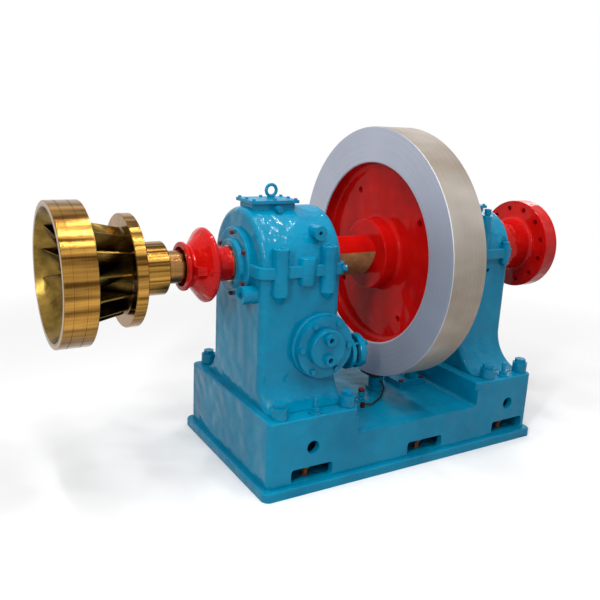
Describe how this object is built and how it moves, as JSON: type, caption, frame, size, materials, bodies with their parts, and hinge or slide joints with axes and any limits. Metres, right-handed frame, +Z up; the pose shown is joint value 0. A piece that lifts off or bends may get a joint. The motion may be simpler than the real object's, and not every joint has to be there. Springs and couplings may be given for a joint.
{
  "type": "horizontal francis turbine shaft unit with flywheel",
  "caption": "Overhung bronze Francis runner on a shaft with flywheel and coupling flange, carried by two bearing pedestals on a cast bedplate with a brake jack.",
  "frame": {"origin": "centre of the bedplate's bottom face", "axes": "+X along the shaft from the runner to the coupling, +Y away from the side with the cooler cover, +Z up"},
  "size_m": [2.563, 1.2, 1.53],
  "materials": {
    "blue_paint": "gloss enamel",
    "red_paint": "gloss enamel",
    "flywheel_steel": "turned rim, red painted web",
    "shaft_steel": "red painted middle, bare journals",
    "bronze": "turned and fettled casting",
    "copper_sleeve": "turned",
    "white_metal": "scraped bearing metal",
    "dark_screws": "socket screws in red oxide primer",
    "rusty_steel": "rusted screw",
    "brake_lining": "brake lining, matt",
    "copper_pipe": "tarnished copper"
  },
  "bodies": {
    "base": {"bedplate": "blue_paint", "levelling_screws": "rusty_steel", "left_pedestal": "blue_paint", "left_pedestal_cap": "blue_paint", "left_cap_bolts": "blue_paint", "left_top_cover": "blue_paint", "eye_bolt": "blue_paint", "left_bearing_shell": "white_metal", "right_bearing_shell": "white_metal", "left_outer_seal_cover": "blue_paint", "left_inner_seal_cover": "blue_paint", "right_inner_seal_cover": "blue_paint", "seal_cover_screws": "dark_screws", "cooler_cover": "blue_paint", "cooler_cover_bolts": "blue_paint", "drain_cover": "blue_paint", "drain_cover_screws": "blue_paint", "foot_bolts": "blue_paint", "dowel_pins": "blue_paint", "right_pedestal": "blue_paint", "right_pedestal_cap": "blue_paint", "right_cap_bolts": "blue_paint", "right_top_cover": "blue_paint", "brake_plate": "blue_paint", "brake_plate_bolts": "blue_paint", "brake_jack": "blue_paint", "brake_shoe": "brake_lining", "brake_oil_cup": "blue_paint", "brake_pipe_union": "red_paint", "brake_pipe": "copper_pipe"},
    "rotor": {"runner": "bronze", "runner_cone": "bronze", "shaft": "shaft_steel", "shaft_sleeve": "copper_sleeve", "water_slinger": "red_paint", "flywheel": "flywheel_steel", "coupling": "red_paint"}
  },
  "joints": [
    {"name": "rotor_spin", "type": "hinge", "parent": "base", "child": "rotor", "pos_m": [0, 0, 0.93], "axis": [1, 0, 0], "continuous": true}
  ]
}
